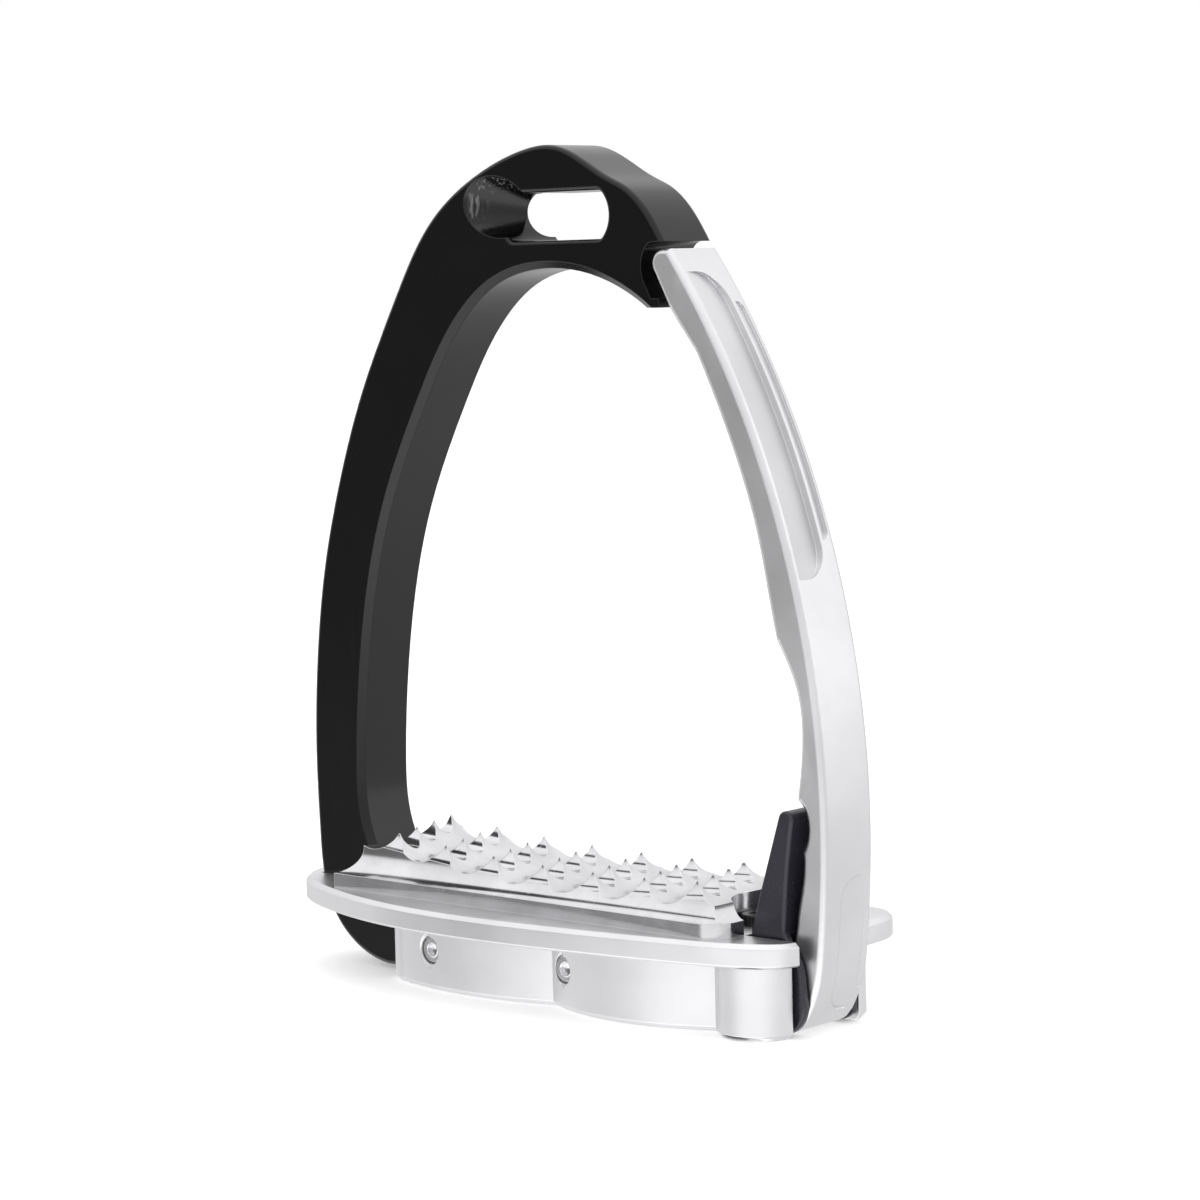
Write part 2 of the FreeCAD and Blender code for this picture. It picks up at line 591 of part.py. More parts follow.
def base_housing():
    outer = Part.Wire(Part.__sortEdges__(housing_outline()))
    inner = Part.Face(outer).makeOffset2D(-FOOT_BEVEL).Wires[0]
    outer.translate(V(0, 0, FOOT_BEVEL))
    foot = Part.makeLoft([inner, outer], True, True)
    body = plate(housing_outline(), FOOT_BEVEL, BASE_HEIGHT).fuse(foot)
    above = BASE_HEIGHT + 1
    outside = HOUSING_LEFT - BEYOND
    body = body.cut(block(BAY_START, 80, -BAY_HALF, BAY_HALF, -1, above))
    body = body.cut(block(outside, TENON_END + 0.2, -TENON_HALF, TENON_HALF, TENON_BOTTOM, above))
    body = body.cut(block(outside, HOUSING_LEFT + 0.8, -TENON_HALF, TENON_HALF, -1, TENON_BOTTOM + 1))
    body = body.cut(block(COVER_X0, COVER_X1, -COVER_HALF, COVER_HALF, -1, COVER_TOP))
    body = body.cut(block(COVER_X0 + 4, COVER_X1 - 4, -6.0, 6.0, 1.0, TENON_BOTTOM + 1))
    for x in SIDE_SCREW_X:
        wall = front_wall(x)
        ahead = (x, -wall - 2, SIDE_SCREW_Z)
        body = body.cut(rod(SIDE_SHANK_ROOM, ahead, (x, 0, SIDE_SCREW_Z)))
        body = body.cut(rod(SIDE_HEAD_ROOM, ahead, (x, -wall + 1.8, SIDE_SCREW_Z)))
        lead_in = cone(3.7, SIDE_HEAD_ROOM, (x, -wall, SIDE_SCREW_Z), (x, -wall + 0.8, SIDE_SCREW_Z))
        body = body.cut(lead_in)
    for x, y in HOUSING_SCREWS:
        body = body.cut(rod(HOUSING_SCREW_RADIUS + SCREW_PLAY, (x, y, -1), (x, y, above)))
        body = body.cut(rod(HOUSING_HEAD_RADIUS + 0.2, (x, y, -1), (x, y, COUNTERBORE)))
    for x, y in COVER_SCREWS:
        body = body.cut(rod(COVER_SCREW_RADIUS, (x, y, 0), (x, y, TENON_BOTTOM + 1)))
    x, y = TREAD_SCREW
    body = body.cut(rod(HOUSING_SCREW_RADIUS, (x, y, 9.8), (x, y, above)))
    body = body.cut(rod(PIN_RADIUS, (HINGE_X, PIN_FRONT - 0.2, HINGE_Z), (HINGE_X, 30, HINGE_Z)))
    body = body.cut(rod(DETENT_RADIUS, (DETENT_AXIS_X0, 0, HINGE_Z), (BAY_START + 1, 0, HINGE_Z)))
    return body.removeSplitter()


COVER_X0 = -44.0             # recess for the cover under the tenon pocket
COVER_X1 = -6.0
COVER_HALF = 9.0
COVER_TOP = 1.6
COVER_SCREW_RADIUS = 0.8
COVER_PLAY = 0.1             # round the cover in its recess
COVER_SCREWS = [(x, y) for x in (COVER_X0 + 1.8, COVER_X1 - 1.8) for y in (-7.2, 7.2)]


def base_cover():
    half = COVER_HALF - COVER_PLAY
    body = block(COVER_X0 + COVER_PLAY, COVER_X1 - COVER_PLAY, -half, half, COVER_PLAY, COVER_TOP)
    for x, y in COVER_SCREWS:
        body = body.cut(cone(1.75, 0.85, (x, y, COVER_PLAY), (x, y, 1.0)))
        body = body.cut(rod(0.85, (x, y, 0), (x, y, 2)))
    return body


# ---- fasteners, pins and springs ----------------------------------------------------------------
def side_screws():
    shapes = []
    for x in SIDE_SCREW_X:
        wall = front_wall(x)
        head = (x, -wall + 0.9, SIDE_SCREW_Z)
        shapes.append(screw(head, (0, 1, 0), SCREW_HOLE, wall - 1.2, HOUSING_HEAD_RADIUS, 0.9, SOCKET))
    return Part.Compound(shapes)


def housing_screws():
    shapes = []
    for x, y in HOUSING_SCREWS:
        head = (x, y, 0.6)
        length = TREAD_TOP - 2.2
        shapes.append(screw(head, (0, 0, 1), HOUSING_SCREW_RADIUS, length, HOUSING_HEAD_RADIUS, 2.8, SOCKET))
    return Part.Compound(shapes)


def grip_screws():
    shapes = []
    for x, y in GRIP_SCREWS:
        head = (x, y, BASE_HEIGHT)
        length = GRIP_SCREW_TIP - BASE_HEIGHT - 0.2
        shapes.append(screw(head, (0, 0, 1), GRIP_SCREW_RADIUS, length, GRIP_HEAD_RADIUS, 2.0, SOCKET, True))
    return Part.Compound(shapes)


def cover_screws():
    shapes = []
    for x, y in COVER_SCREWS:
        shapes.append(screw((x, y, 0.2), (0, 0, 1), COVER_SCREW_RADIUS, 2.7, 1.6, 0.85, 1.0, True))
    return Part.Compound(shapes)


def tread_screw():
    x, y = TREAD_SCREW
    return screw((x, y, TREAD_TOP + 2.2), (0, 0, -1), HOUSING_SCREW_RADIUS, 11.2, 3.2, 2.2, SOCKET)


def locating_pins():
    shapes = []
    for x, y in PIN_PLACES:
        shapes.append(rod(PIN_PLACE_RADIUS, (x, y, BASE_HEIGHT + 1.2), (x, y, TREAD_TOP + 2.8)))
    return Part.Compound(shapes)


def hinge_pin():
    body = rod(PIN_RADIUS, (HINGE_X, PIN_FRONT, HINGE_Z), (HINGE_X, PIN_REAR, HINGE_Z))
    return body.cut(hex_socket((HINGE_X, PIN_REAR, HINGE_Z), (0, -1, 0), 3.0, 1.5))


def hinge_spring():
    """Torsion spring on the hinge pin, in the recess behind the arm's eye; a mirrored copy sits in front."""
    return coil(3.6, 0.8, (HINGE_X, HEEL_HALF + 0.5, HINGE_Z), (0, 1, 0), 1.6, 1.55)


def detent_plunger():
    nose_end = HINGE_X - HEEL_RADIUS - 0.2
    taper = (nose_end - 1.2, 0, HINGE_Z)
    body = rod(DETENT_RADIUS - RUNNING_FIT, (37.0, 0, HINGE_Z), (45.6, 0, HINGE_Z))
    body = body.fuse(rod(DETENT_NOSE_RADIUS, (45.6, 0, HINGE_Z), taper))
    body = body.fuse(cone(DETENT_NOSE_RADIUS, 0.7, taper, (nose_end, 0, HINGE_Z))).removeSplitter()
    return body.cut(rod(1.9, (36.0, 0, HINGE_Z), (43.5, 0, HINGE_Z)))


def detent_spring():
    return coil(1.35, 0.5, (DETENT_AXIS_X0 + 0.3, 0, HINGE_Z), (1, 0, 0), 20.0, 11)


def lever_stop_pad():
    return block(BAY_START + 1.4, 48.35, -8.0, 8.0, 14.8, 18.6)


# ---- export -------------------------------------------------------------------------------------
def build():
    nodes = {
        "frame_arch": frame_arch(),
        "release_arm": release_arm(),
        "arm_bush_front": arm_bush(-HEEL_HALF, -0.2),
        "arm_bush_rear": arm_bush(0.2, HEEL_HALF),
        "release_lever": release_lever(),
        "footbed_platform": footbed_platform(),
        "grip_insert": grip_insert(),
        "base_housing": base_housing(),
        "base_cover": base_cover(),
        "side_screws": side_screws(),
        "housing_screws": housing_screws(),
        "grip_screws": grip_screws(),
        "cover_screws": cover_screws(),
        "tread_screw": tread_screw(),
        "locating_pins": locating_pins(),
        "hinge_pin": hinge_pin(),
        "lever_spring": hinge_spring(),
        "arm_spring": hinge_spring().mirror(V(0, 0, 0), V(0, 1, 0)),
        "detent_plunger": detent_plunger(),
        "detent_spring": detent_spring(),
        "lever_stop_pad": lever_stop_pad(),
    }
    os.makedirs("parts", exist_ok=True)
    for name, shape in nodes.items():
        if not shape.isValid():
            raise RuntimeError(name + " is not a valid solid")
        print(name, len(shape.Solids), "solids", round(shape.Volume, 1), "mm3")
        shape.exportStep("parts/" + name + ".step")


build()
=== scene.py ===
"""Looks for a quick-release safety stirrup: anodised arch, satin arm and base, bright spiked tread.

Everything is in metres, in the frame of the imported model: +X towards the release arm, -Y the front, +Z up.
"""

import math

import bmesh
import bpy
from mathutils import Matrix, Vector


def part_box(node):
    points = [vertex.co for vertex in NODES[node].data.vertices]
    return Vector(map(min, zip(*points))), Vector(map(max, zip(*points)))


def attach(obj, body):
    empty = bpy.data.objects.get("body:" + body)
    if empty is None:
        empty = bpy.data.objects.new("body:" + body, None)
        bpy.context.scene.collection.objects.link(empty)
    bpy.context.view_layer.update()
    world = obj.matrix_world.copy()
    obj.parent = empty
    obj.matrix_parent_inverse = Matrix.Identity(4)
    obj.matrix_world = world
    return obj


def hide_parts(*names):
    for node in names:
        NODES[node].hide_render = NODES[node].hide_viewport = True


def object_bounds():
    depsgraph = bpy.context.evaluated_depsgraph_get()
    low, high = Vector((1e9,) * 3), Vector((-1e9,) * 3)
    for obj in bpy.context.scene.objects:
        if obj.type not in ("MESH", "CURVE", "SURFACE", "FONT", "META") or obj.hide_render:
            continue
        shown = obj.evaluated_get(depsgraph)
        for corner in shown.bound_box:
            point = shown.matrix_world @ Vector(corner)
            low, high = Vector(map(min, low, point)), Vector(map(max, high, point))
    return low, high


bl_info = {
    "name": "Safety stirrup",
    "version": (1, 0, 0),
    "blender": (4, 5, 0),
    "location": "3D View > Sidebar > Stirrup",
    "description": "Finishes and small fittings of a quick-release safety stirrup",
    "category": "Object",
}

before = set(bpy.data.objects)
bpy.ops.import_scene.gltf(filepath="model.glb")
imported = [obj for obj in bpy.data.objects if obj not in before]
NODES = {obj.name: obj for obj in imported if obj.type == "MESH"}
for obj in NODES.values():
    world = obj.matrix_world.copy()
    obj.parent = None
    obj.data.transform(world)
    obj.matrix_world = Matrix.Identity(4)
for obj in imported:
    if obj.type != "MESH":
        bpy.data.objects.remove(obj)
CAD_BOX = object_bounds()
MM = 0.001
SCREW_HEAD = 2.8 * MM        # radius of the side and housing screws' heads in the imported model
COVER_HEAD = 1.6 * MM
GRIP_HEAD = 4.0 * MM
SCREW_SHANK = 1.65 * MM
MERGE = 1e-6                 # vertices nearer than this are one
SPIN_STEPS = 48
CHAMFER = 0.3 * MM           # on a turned screw's head and end


# ---- settings -----------------------------------------------------------------------------------
class StirrupFinishes(bpy.types.PropertyGroup):
    """Colours and surface textures of the stirrup's metals"""

    black: bpy.props.FloatVectorProperty(
        name="Black anodise", description="Colour of the arch", subtype="COLOR", size=3,
        min=0, max=1, default=(0.0025, 0.0025, 0.0028))
    lever_black: bpy.props.FloatVectorProperty(
        name="Lever black", description="Colour of the release lever", subtype="COLOR", size=3,
        min=0, max=1, default=(0.022, 0.021, 0.03))
    silver: bpy.props.FloatVectorProperty(
        name="Satin silver", description="Colour of the arm, the platform and the base", subtype="COLOR",
        size=3, min=0, max=1, default=(0.8, 0.795, 0.81))
    bright: bpy.props.FloatVectorProperty(
        name="Bright metal", description="Colour of the grip insert and the screws", subtype="COLOR", size=3,
        min=0, max=1, default=(0.76, 0.755, 0.775))
    grain: bpy.props.FloatProperty(
        name="Blast grain", description="Size of the bead-blasted grain under the anodising", unit="LENGTH",
        min=0.00005, max=0.002, default=0.00042)
    edge: bpy.props.FloatProperty(
        name="Edge break", description="Radius that tumbling leaves on every sharp edge", unit="LENGTH",
        min=0, max=0.001, default=0.0003)


class StirrupSizes(bpy.types.PropertyGroup):
    """Sizes of the small fittings"""

    side_head: bpy.props.FloatProperty(
        name="Side screw head", description="Radius of the two side screws' heads", unit="LENGTH",
        min=0.001, max=0.005, default=0.00275)
    tread_head: bpy.props.FloatProperty(
        name="Tread screw head", description="Radius of the black cap screw's head", unit="LENGTH",
        min=0.001, max=0.005, default=0.0032)
    ribs: bpy.props.IntProperty(
        name="Knurl ribs", description="Ribs round the cap screw's head", min=8, max=60, default=30)
    socket: bpy.props.FloatProperty(
        name="Hexagon socket", description="Size of the sockets across their corners, halved", unit="LENGTH",
        min=0.0005, max=0.003, default=0.00145)


class StirrupStage(bpy.types.PropertyGroup):
    """Floor, light and camera"""

    camera_place: bpy.props.FloatVectorProperty(
        name="Camera place", description="Where the camera stands", subtype="TRANSLATION", size=3,
        unit="LENGTH", default=(0.4719, -0.5206, 0.1478))
    camera_turn: bpy.props.FloatProperty(
        name="Camera turn", description="Turn round the upright axis, from straight behind the front",
        unit="ROTATION", default=math.radians(42.0))
    camera_pitch: bpy.props.FloatProperty(
        name="Camera pitch", description="How far the camera looks down", unit="ROTATION",
        default=math.radians(5.43))
    camera_roll: bpy.props.FloatProperty(
        name="Camera roll", description="Roll round the line of sight", unit="ROTATION",
        default=math.radians(-1.41))
    lens: bpy.props.FloatProperty(
        name="Focal length", description="Focal length on a 36 mm wide sensor", unit="CAMERA",
        min=20, max=300, default=104.3)
    floor_size: bpy.props.FloatProperty(
        name="Floor size", description="Half the width of the pale floor", unit="LENGTH",
        min=0.5, max=20, default=6.0)
    light: bpy.props.FloatProperty(
        name="Light", description="Strength of the soft boxes", min=0, max=10, default=1.0)


def finishes():
    return bpy.context.scene.stirrup_finishes


def sizes():
    return bpy.context.scene.stirrup_sizes


# ---- shader maths -------------------------------------------------------------------------------
class Signal:
    """A number that varies over a surface; Python's operators on it add Math nodes."""

    def __init__(self, finish, socket):
        self.finish = finish
        self.socket = socket

    def math(self, operation, *others, first=None, clamp=False):
        values = [self, *others] if first is None else [first, self]
        node = self.finish.add(
            "ShaderNodeMath", {"operation": operation, "use_clamp": clamp}, dict(enumerate(values)))
        return Signal(self.finish, node.outputs[0])

    def __add__(self, other):
        return self.math("ADD", other)

    def __sub__(self, other):
        return self.math("SUBTRACT", other)

    def __rsub__(self, other):
        return self.math("SUBTRACT", first=other)

    def __mul__(self, other):
        return self.math("MULTIPLY", other)

    def __pow__(self, other):
        return self.math("POWER", other)

    def __abs__(self):
        return self.math("ABSOLUTE")

    __radd__ = __add__
    __rmul__ = __mul__

    def least(self, other):
        return self.math("MINIMUM", other)

    def sine(self):
        return self.math("SINE")

    def held(self):
        """The same number, kept between 0 and 1."""
        return self.math("ADD", 0.0, clamp=True)

    def ramp(self, low, high):
        """0 below low, 1 above high, smooth between them."""
        node = self.finish.add(
            "ShaderNodeMapRange", {"interpolation_type": "SMOOTHSTEP"},
            {"Value": self, "From Min": low, "From Max": high})
        return Signal(self.finish, node.outputs["Result"])


class Board:
    """A node tree that shader maths and nodes are laid out on."""

    def __init__(self, owner):
        owner.use_nodes = True
        self.tree = owner.node_tree
        self.tree.nodes.clear()

    def add(self, kind, settings=None, sockets=None):
        """A node of this type: its settings come first, then its sockets' values or links."""
        node = self.tree.nodes.new(kind)
        for name, value in (settings or {}).items():
            setattr(node, name, value)
        for name, value in (sockets or {}).items():
            if isinstance(value, Signal):
                value = value.socket
            if isinstance(value, bpy.types.NodeSocket):
                self.tree.links.new(value, node.inputs[name])
            else:
                node.inputs[name].default_value = value
        return node

    def parts(self, vector):
        """A vector's three numbers."""
        node = self.add("ShaderNodeSeparateXYZ", None, {"Vector": vector})
        return [Signal(self, node.outputs[axis]) for axis in "XYZ"]


class Finish(Board):
    """One material, whose patterns follow the piece's own coordinates."""

    def __init__(self, name):
        self.material = bpy.data.materials.new(name)
        super().__init__(self.material)
        self.place = self.add("ShaderNodeTexCoord").outputs["Object"]

    def noise(self, size, detail=2.0, roughness=0.5, stretch=(1, 1, 1), turn=(0, 0, 0)):
        """Cloudy noise between 0 and 1, whose blobs are about size metres wide."""
        mapped = self.add(
            "ShaderNodeMapping", None, {"Vector": self.place, "Scale": stretch, "Rotation": turn})
        node = self.add("ShaderNodeTexNoise", None, {
            "Vector": mapped.outputs["Vector"], "Scale": 1 / size, "Detail": detail, "Roughness": roughness})
        return Signal(self, node.outputs["Fac"])

    def softened(self, radius):
        """The normal as if every edge were rounded by radius, and a mask of those edges."""
        bevel = self.add("ShaderNodeBevel", {"samples": 6}, {"Radius": radius}).outputs["Normal"]
        normal = self.add("ShaderNodeNewGeometry").outputs["Normal"]
        dot = self.add("ShaderNodeVectorMath", {"operation": "DOT_PRODUCT"}, {0: bevel, 1: normal})
        edge = (1 - Signal(self, dot.outputs["Value"])).ramp(0.01, 0.22)
        return bevel, edge

    def mix(self, factor, first, second):
        """One colour blended into another by the factor."""
        node = self.add("ShaderNodeMix", {"data_type": "RGBA"}, {0: factor, 6: first, 7: second})
        return node.outputs[2]

    def bump(self, height, strength, distance, normal=None):
        sockets = {"Height": height, "Strength": strength, "Distance": distance}
        if normal is not None:
            sockets["Normal"] = normal
        return self.add("ShaderNodeBump", None, sockets).outputs["Normal"]

    def metal(self, **sockets):
        """The surface shader, joined to the output."""
        shader = self.add("ShaderNodeBsdfPrincipled", None, {
            name.replace("_", " "): value for name, value in sockets.items()})
        self.add("ShaderNodeOutputMaterial", None, {"Surface": shader.outputs["BSDF"]})
        return self.material


def tone(colour, factor=1.0):
    return (*(min(1.0, part * factor) for part in colour), 1.0)


def paint(names, material):
    """Puts the material on every slot of these CAD nodes."""
    for name in names:
        slots = NODES[name].material_slots
        if not slots:
            NODES[name].data.materials.append(material)
        for place in slots:
            place.material = material


# ---- finishes -----------------------------------------------------------------------------------
def black_anodise():
    """Deep black over fine blasting, with turned swirls in the flared mouths of the leather slot and a
    painted highlight on their upper left side.
    """
    finish = Finish("black_anodise")
    settings = finishes()
    normal, edge = finish.softened(settings.edge)
    grain = finish.noise(settings.grain, 2.0)
    clouds = finish.noise(0.02, 4.0, 0.6)
    rubs = finish.noise(0.0035, 5.0, 0.65, stretch=(1, 1, 0.12)).ramp(0.6, 0.82)
    x, y, z = finish.parts(finish.place)
    # painted highlight: fans of light grey streaks over the cutter's turned rings in the scoops beside the
    # slot, only on their upper left side
    across = x + 17.0 * MM
    up = z - 161.0 * MM
    radius = (across * across + up * up) ** 0.5
    scoop = (1 - radius.ramp(6.2 * MM, 8.4 * MM)) * (1 - abs(y).ramp(6.8 * MM, 7.3 * MM))
    rings = (radius * 9000).sine() * 0.5 + 0.5
    highlight_streaks = finish.noise(0.0008, 2.0, 0.5, stretch=(1, 1, 0.12), turn=(0, 0.5, 0)).ramp(0.52, 0.66)
    # where the painted highlight falls: the outer ring of the scoop, on its upper left side
    highlit_upper_left = radius.ramp(3.2 * MM, 5.0 * MM) * (up + across * -0.6).ramp(-1.0 * MM, 4.0 * MM)
    swirl_highlight = scoop * highlit_upper_left * highlight_streaks * (0.6 + rings * 0.4)
    wear = edge * clouds.ramp(0.42, 0.62)
    colour = finish.mix(wear * 0.5, tone(settings.black), tone(settings.black, 9.0))
    # the painted swirl highlight, mixed in as light grey
    colour = finish.mix(swirl_highlight * 0.9, colour, (0.16, 0.16, 0.165, 1))
    colour = finish.mix(rubs * 0.18, colour, tone(settings.black, 3.2))
    bumps = finish.bump(grain * 0.6 + rings * scoop * 0.8, 0.14, 0.04 * MM, normal)
    rough = 0.2 + (clouds - 0.5) * 0.1 + rubs * 0.08 + (grain - 0.5) * 0.04 + swirl_highlight * 0.1
    return finish.metal(Base_Color=colour, Roughness=rough.held(), Specular_IOR_Level=0.4, Normal=bumps)


def satin_silver(name, brightness=1.0, rough=0.33, stretch=(1, 1, 1), handling=0.5):
    """Clear anodised aluminium: pearly, softly clouded, with faint handling marks and brighter edges."""
    finish = Finish(name)
    settings = finishes()
    normal, edge = finish.softened(settings.edge)
    grain = finish.noise(settings.grain, 2.0, stretch=stretch)
    clouds = finish.noise(0.026, 3.0, 0.55)
    lines = finish.noise(0.0009, 4.0, 0.7, stretch=(0.06, 1, 1), turn=(0, 0.5, 0.35)).ramp(0.66, 0.8)
    smears = finish.noise(0.011, 5.0, 0.6).ramp(0.52, 0.78)
    dull = tone(settings.silver, 0.9 * brightness)
    colour = finish.mix(clouds.ramp(0.3, 0.72), dull, tone(settings.silver, brightness))
    colour = finish.mix(lines * 0.16, colour, tone(settings.silver, 0.72))
    colour = finish.mix(edge * 0.6, colour, tone(settings.silver, 1.12))
    bumps = finish.bump(grain - lines * 0.6, 0.2, 0.035 * MM, normal)
    surface = rough + (clouds - 0.5) * 0.08 + smears * (0.07 * handling) + (grain - 0.5) * 0.07 - edge * 0.1
    return finish.metal(Base_Color=colour, Metallic=1.0, Roughness=surface.held(), Normal=bumps)


def bright_milled():
    """Milled and tumbled bright metal: cutter lines in the grooves, small dings, polished edges."""
    finish = Finish("bright_milled")
    settings = finishes()
    normal, edge = finish.softened(settings.edge * 0.8)
    cutter = finish.noise(0.00035, 2.0, stretch=(1, 0.06, 1), turn=(0, 0, 0.31))
    long_marks = finish.noise(0.0005, 2.0, stretch=(0.05, 1, 1))
    dings = finish.noise(0.0014, 3.0, 0.6).ramp(0.64, 0.76)
    clouds = finish.noise(0.009, 4.0, 0.6)
    colour = finish.mix(clouds.ramp(0.3, 0.7), tone(settings.bright, 0.86), tone(settings.bright))
    colour = finish.mix(dings * 0.3, colour, tone(settings.bright, 0.6))
    colour = finish.mix(edge * 0.7, colour, tone(settings.bright, 1.16))
    height = cutter * 0.55 + long_marks * 0.45 - dings * 0.7
    bumps = finish.bump(height, 0.22, 0.05 * MM, normal)
    rough = 0.15 + (clouds - 0.5) * 0.1 + dings * 0.15 + (cutter - 0.5) * 0.07
    return finish.metal(Base_Color=colour, Metallic=1.0, Roughness=rough.held(), Normal=bumps)


def turned_steel(name, colour, centres, plane, rough=0.2):
    """Bright turned steel, with fine rings round the nearest of the screws' centres."""
    finish = Finish(name)
    normal, edge = finish.softened(finishes().edge * 0.6)
    coordinates = dict(zip("xyz", finish.parts(finish.place)))
    nearest = None
    for centre in centres:
        first = coordinates[plane[0]] - centre[0]
        second = coordinates[plane[1]] - centre[1]
        distance = (first * first + second * second) ** 0.5
        nearest = distance if nearest is None else nearest.least(distance)
    rings = (nearest * 26000).sine() * 0.5 + 0.5
    grime = finish.noise(0.0012, 4.0, 0.65).ramp(0.45, 0.75)
    shade = finish.mix(grime * 0.4, tone(colour), tone(colour, 0.55))
    shade = finish.mix(edge * 0.6, shade, tone(colour, 1.2))
    bumps = finish.bump(rings * 0.6 + grime * 0.4, 0.18, 0.03 * MM, normal)
    return finish.metal(Base_Color=shade, Metallic=1.0, Roughness=(rough + grime * 0.2 + rings * 0.04).held(),
                        Normal=bumps)


def ground_steel(name, colour, rough=0.25, stretch=(1, 0.08, 1)):
    """Ground or drawn steel, with lines along the piece and a little oil staining."""
    finish = Finish(name)
    lines = finish.noise(0.0003, 3.0, 0.6, stretch=stretch)
    stain = finish.noise(0.003, 4.0, 0.6).ramp(0.5, 0.75)
    shade = finish.mix(stain * 0.5, tone(colour), tone(colour, 0.6))
    bumps = finish.bump(lines, 0.25, 0.03 * MM)
    return finish.metal(Base_Color=shade, Metallic=1.0, Roughness=(rough + stain * 0.15 + lines * 0.1).held(),
                        Normal=bumps)


def lever_coat():
    """Satin black on the lever, rubbed a little brighter where boots slide over it."""
    finish = Finish("lever_coat")
    settings = finishes()
    normal, edge = finish.softened(settings.edge * 1.3)
    grain = finish.noise(settings.grain * 0.9, 2.0)
    clouds = finish.noise(0.008, 4.0, 0.6)
    _, _, z = finish.parts(finish.place)
    rubbed = z.ramp(24 * MM, 44 * MM) * clouds.ramp(0.35, 0.7)
    streaks = finish.noise(0.0011, 4.0, 0.7, stretch=(1, 1, 0.1)).ramp(0.58, 0.8)
    worn = rubbed * 0.35 + streaks * 0.2
    colour = finish.mix(worn, tone(settings.lever_black), tone(settings.lever_black, 2.4))
    colour = finish.mix(edge * 0.5, colour, tone(settings.lever_black, 4.5))
    bumps = finish.bump(grain + streaks * 0.5, 0.2, 0.04 * MM, normal)
    rough = 0.27 + (clouds - 0.5) * 0.12 - rubbed * 0.06 + (grain - 0.5) * 0.06
    return finish.metal(Base_Color=colour, Roughness=rough.held(), Specular_IOR_Level=0.5, Normal=bumps)


def black_oxide():
    """Oiled black oxide on the cap screw, bare where the key has scuffed it."""
    finish = Finish("black_oxide")
    _, edge = finish.softened(0.12 * MM)
    mottle = finish.noise(0.0008, 4.0, 0.6)
    scuff = (edge * mottle.ramp(0.4, 0.6)).held()
    colour = finish.mix(mottle, (0.008, 0.008, 0.009, 1), (0.022, 0.021, 0.021, 1))
    colour = finish.mix(scuff, colour, (0.2, 0.2, 0.21, 1))
    bumps = finish.bump(mottle, 0.2, 0.03 * MM)
    return finish.metal(Base_Color=colour, Metallic=scuff * 0.8, Roughness=(0.34 + mottle * 0.15).held(),
                        Normal=bumps)


def moulded(name, colour, rough, size):
    """Matt moulded polymer or rubber, finely pitted and dusty in places."""
    finish = Finish(name)
    pits = finish.noise(size, 3.0, 0.6)
    dust = finish.noise(0.004, 4.0, 0.6).ramp(0.5, 0.8)
    shade = finish.mix(dust * 0.3, tone(colour), tone(colour, 2.6))
    bumps = finish.bump(pits, 0.4, 0.05 * MM)
    surface = rough + dust * 0.1 + (pits - 0.5) * 0.1
    return finish.metal(Base_Color=shade, Roughness=surface.held(), Normal=bumps)


# ---- pieces -------------------------------------------------------------------------------------
def to_piece(name, mesh_in_work, material, body, slot_name, *nodes):
    """Turns the worked mesh into a finished piece that rides on a body and stands for its CAD nodes."""
    bmesh.ops.remove_doubles(mesh_in_work, verts=mesh_in_work.verts, dist=MERGE)
    bmesh.ops.recalc_face_normals(mesh_in_work, faces=mesh_in_work.faces)
    mesh = bpy.data.meshes.new(name)
    mesh_in_work.to_mesh(mesh)
    mesh_in_work.free()
    mesh.materials.append(material)
    piece = bpy.data.objects.new(name, mesh)
    bpy.context.scene.collection.objects.link(piece)
    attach(piece, body)
    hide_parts(*nodes)
    return piece


def rim_bevel(work, edges, width, segments):
    bmesh.ops.bevel(work, geom=list(edges), affect="EDGES", offset=width, segments=segments, profile=0.5,
                    material=-1)


def corners_within(node, head):
    """The axes of the screws at a node's four corners, in plan."""
    low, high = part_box(node)
    return [(x, y) for x in (low.x + head, high.x - head) for y in (low.y + head, high.y - head)]


def side_screw_centres():
    """The two side screws' axes, seen from the front."""
    low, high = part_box("side_screws")
    return [(x, 0.5 * (low.z + high.z)) for x in (low.x + SCREW_HEAD, high.x - SCREW_HEAD)]


def side_screw_piece():
    """Two recessed socket screws in the front of the base."""
    work = bmesh.new()
    for x, z in side_screw_centres():
        lathe_screw(work, Vector((x, screw_face_y(x), z)), Vector((0, 1, 0)), sizes().side_head, 0.9 * MM,
                    SCREW_SHANK, 9.0 * MM, sizes().socket)
    return work


def screw_face_y(x):
    """How far forward the head's outer face lies, for the screw at this X."""
    points = [v.co.y for v in NODES["side_screws"].data.vertices if abs(v.co.x - x) < 3.2 * MM]
    return min(points) + 0.02 * MM


